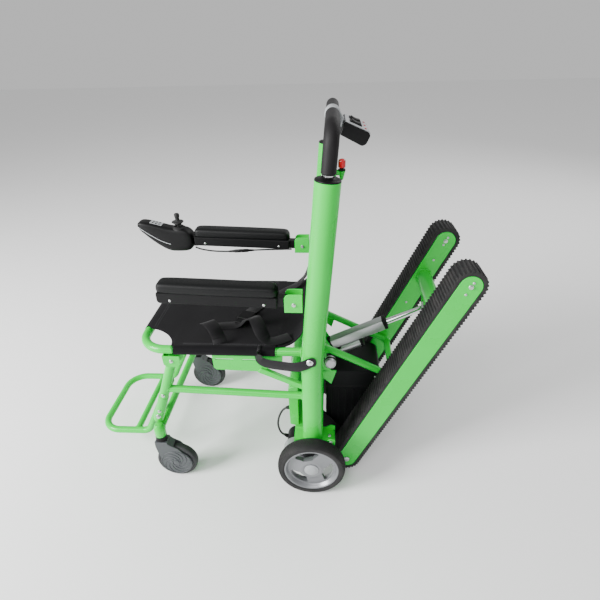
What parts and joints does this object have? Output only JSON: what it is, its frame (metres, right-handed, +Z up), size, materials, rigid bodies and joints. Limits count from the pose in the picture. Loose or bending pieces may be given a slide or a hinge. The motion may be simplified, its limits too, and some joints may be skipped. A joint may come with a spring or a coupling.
{
  "type": "stair-climbing wheelchair",
  "caption": "Tube-framed chair with a sling seat on castors and driven wheels, with a hinged pair of rubber climbing tracks and an actuator behind.",
  "frame": {"origin": "centre of the plan of the bounding box, on the floor", "axes": "+Z up, -Y the way the occupant faces, +X the occupant's left"},
  "size_m": [0.551, 1.1477, 1.0713],
  "materials": {
    "frame_green": "glossy powder coat over tube",
    "black_plastic": "moulded ABS",
    "black_steel": "satin black powder coat",
    "arm_pad_skin": "skinned polyurethane foam",
    "grip_foam": "closed-cell foam sleeve",
    "grey_plastic": "moulded grey nylon",
    "chromed_steel": "polished",
    "black_rubber": "moulded rubber",
    "plain_steel": "machined",
    "tyre_rubber": "solid tyre with fine tread",
    "belt_rubber": "ribbed rubber belt",
    "silver_aluminium": "cast and silver lacquered",
    "red_plastic": "gloss",
    "sling_fabric": "coated nylon weave",
    "belt_webbing": "woven polypropylene webbing"
  },
  "bodies": {
    "frame": {"post_l": "frame_green", "post_r": "frame_green", "post_cap_l": "black_plastic", "post_cap_r": "black_plastic", "seat_frame": "frame_green", "side_plate_l": "frame_green", "side_plate_r": "frame_green", "stretcher_l": "frame_green", "stretcher_r": "frame_green", "front_leg_l": "frame_green", "front_leg_r": "frame_green", "castor_beam": "frame_green", "base_frame": "frame_green", "battery_case": "black_plastic", "rear_crossbar": "frame_green", "brace_frame": "frame_green", "arm_bracket_l": "frame_green", "arm_bracket_r": "frame_green", "wheel_motor_l": "silver_aluminium", "wheel_motor_r": "silver_aluminium", "seat_sling": "sling_fabric", "back_sling": "sling_fabric", "lap_belt": "belt_webbing", "anchor_strap": "belt_webbing", "motor_lead": "black_rubber"},
    "handle": {"handle_tube": "chromed_steel", "grip_l": "grip_foam", "grip_r": "grip_foam", "handle_clamp": "grey_plastic", "control_box": "black_plastic"},
    "climb_rocker": {"climb_rocker": "black_plastic"},
    "drive_rocker": {"drive_rocker": "black_plastic"},
    "emergency_knob": {"emergency_knob": "red_plastic"},
    "arm_l": {"arm_bar_l": "black_steel", "arm_pad_l": "arm_pad_skin"},
    "arm_r": {"arm_bar_r": "black_steel", "arm_pad_r": "arm_pad_skin", "controller_case": "black_plastic", "controller_lead": "black_rubber"},
    "gimbal": {"joystick_gimbal": "plain_steel"},
    "joystick": {"joystick": "black_rubber"},
    "footrest": {"footrest": "frame_green"},
    "castor_l": {"castor_fork_l": "grey_plastic"},
    "castor_r": {"castor_fork_r": "grey_plastic"},
    "castor_wheel_l": {"castor_wheel_l": "black_rubber"},
    "castor_wheel_r": {"castor_wheel_r": "black_rubber"},
    "rear_wheel_l": {"rear_tyre_l": "tyre_rubber", "rear_rim_l": "silver_aluminium"},
    "rear_wheel_r": {"rear_tyre_r": "tyre_rubber", "rear_rim_r": "silver_aluminium"},
    "tracks": {"track_frame_l": "frame_green", "track_frame_r": "frame_green", "track_belt_l": "belt_rubber", "track_belt_r": "belt_rubber", "track_cross_tube": "frame_green"},
    "drive_axle": {"drive_axle": "plain_steel"},
    "idler_l": {"idler_l": "grey_plastic"},
    "idler_r": {"idler_r": "grey_plastic"},
    "actuator": {"actuator_body": "silver_aluminium"},
    "actuator_rod": {"actuator_rod": "chromed_steel"}
  },
  "joints": [
    {"name": "handle_slide", "type": "slide", "parent": "frame", "child": "handle", "axis": [0, 0.0783, 0.9969], "range_m": [0, 0.18]},
    {"name": "climb_rocker_tilt", "type": "hinge", "parent": "handle", "child": "climb_rocker", "pos_m": [0.026, 0.24316, 1.03211], "axis": [1, 0, 0], "range_deg": [-6, 6], "stiffness_Nm_per_rad": 0.05},
    {"name": "drive_rocker_tilt", "type": "hinge", "parent": "handle", "child": "drive_rocker", "pos_m": [-0.026, 0.24316, 1.03211], "axis": [1, 0, 0], "range_deg": [-6, 6], "stiffness_Nm_per_rad": 0.05},
    {"name": "emergency_press", "type": "slide", "parent": "frame", "child": "emergency_knob", "axis": [0, 0, -1], "range_m": [0, 0.004]},
    {"name": "arm_l_flip", "type": "hinge", "parent": "frame", "child": "arm_l", "pos_m": [0.184, 0.097, 0.63], "axis": [-1, 0, 0], "range_deg": [0, 60]},
    {"name": "arm_r_flip", "type": "hinge", "parent": "frame", "child": "arm_r", "pos_m": [-0.184, 0.097, 0.63], "axis": [-1, 0, 0], "range_deg": [0, 60]},
    {"name": "joystick_pitch", "type": "hinge", "parent": "arm_r", "child": "gimbal", "pos_m": [-0.184, -0.305, 0.678], "axis": [1, 0, 0], "range_deg": [-12, 12], "stiffness_Nm_per_rad": 0.1},
    {"name": "joystick_roll", "type": "hinge", "parent": "gimbal", "child": "joystick", "pos_m": [-0.184, -0.305, 0.678], "axis": [0, 1, 0], "range_deg": [-12, 12], "stiffness_Nm_per_rad": 0.1},
    {"name": "footrest_fold", "type": "hinge", "parent": "frame", "child": "footrest", "pos_m": [0, -0.298, 0.315], "axis": [-1, 0, 0], "range_deg": [0, 85]},
    {"name": "tracks_swing", "type": "hinge", "parent": "frame", "child": "tracks", "pos_m": [0, 0.246, 0.05], "axis": [1, 0, 0], "range_deg": [-5, 12]},
    {"name": "actuator_tilt", "type": "hinge", "parent": "frame", "child": "actuator", "pos_m": [0, 0.174, 0.364], "axis": [1, 0, 0], "range_deg": [-7, 16]},
    {"name": "rod_slide", "type": "slide", "parent": "actuator", "child": "actuator_rod", "axis": [0, 0.8968, 0.4425], "range_m": [-0.065, 0.028]},
    {"name": "drive_spin", "type": "hinge", "parent": "frame", "child": "drive_axle", "pos_m": [0, 0.246, 0.05], "axis": [1, 0, 0], "continuous": true},
    {"name": "rear_wheel_l_spin", "type": "hinge", "parent": "frame", "child": "rear_wheel_l", "pos_m": [0.254, 0.139, 0.1015], "axis": [1, 0, 0], "continuous": true},
    {"name": "castor_l_swivel", "type": "hinge", "parent": "frame", "child": "castor_l", "pos_m": [0.212, -0.325, 0.15], "axis": [0, 0, 1], "continuous": true},
    {"name": "castor_wheel_l_spin", "type": "hinge", "parent": "castor_l", "child": "castor_wheel_l", "pos_m": [0.212, -0.288, 0.0635], "axis": [1, 0, 0], "continuous": true},
    {"name": "idler_l_spin", "type": "hinge", "parent": "tracks", "child": "idler_l", "pos_m": [0.1435, 0.531, 0.676], "axis": [1, 0, 0], "continuous": true},
    {"name": "rear_wheel_r_spin", "type": "hinge", "parent": "frame", "child": "rear_wheel_r", "pos_m": [-0.254, 0.139, 0.1015], "axis": [1, 0, 0], "continuous": true},
    {"name": "castor_r_swivel", "type": "hinge", "parent": "frame", "child": "castor_r", "pos_m": [-0.212, -0.325, 0.15], "axis": [0, 0, 1], "continuous": true},
    {"name": "castor_wheel_r_spin", "type": "hinge", "parent": "castor_r", "child": "castor_wheel_r", "pos_m": [-0.212, -0.288, 0.0635], "axis": [1, 0, 0], "continuous": true},
    {"name": "idler_r_spin", "type": "hinge", "parent": "tracks", "child": "idler_r", "pos_m": [-0.1435, 0.531, 0.676], "axis": [1, 0, 0], "continuous": true}
  ],
  "couplings": [
    {"joint": "actuator_tilt", "follows": "tracks_swing", "ratio": 1.31},
    {"joint": "rod_slide", "follows": "tracks_swing", "m_per_rad": -0.304},
    {"joint": "idler_l_spin", "follows": "drive_spin", "ratio": 1},
    {"joint": "idler_r_spin", "follows": "drive_spin", "ratio": 1}
  ]
}
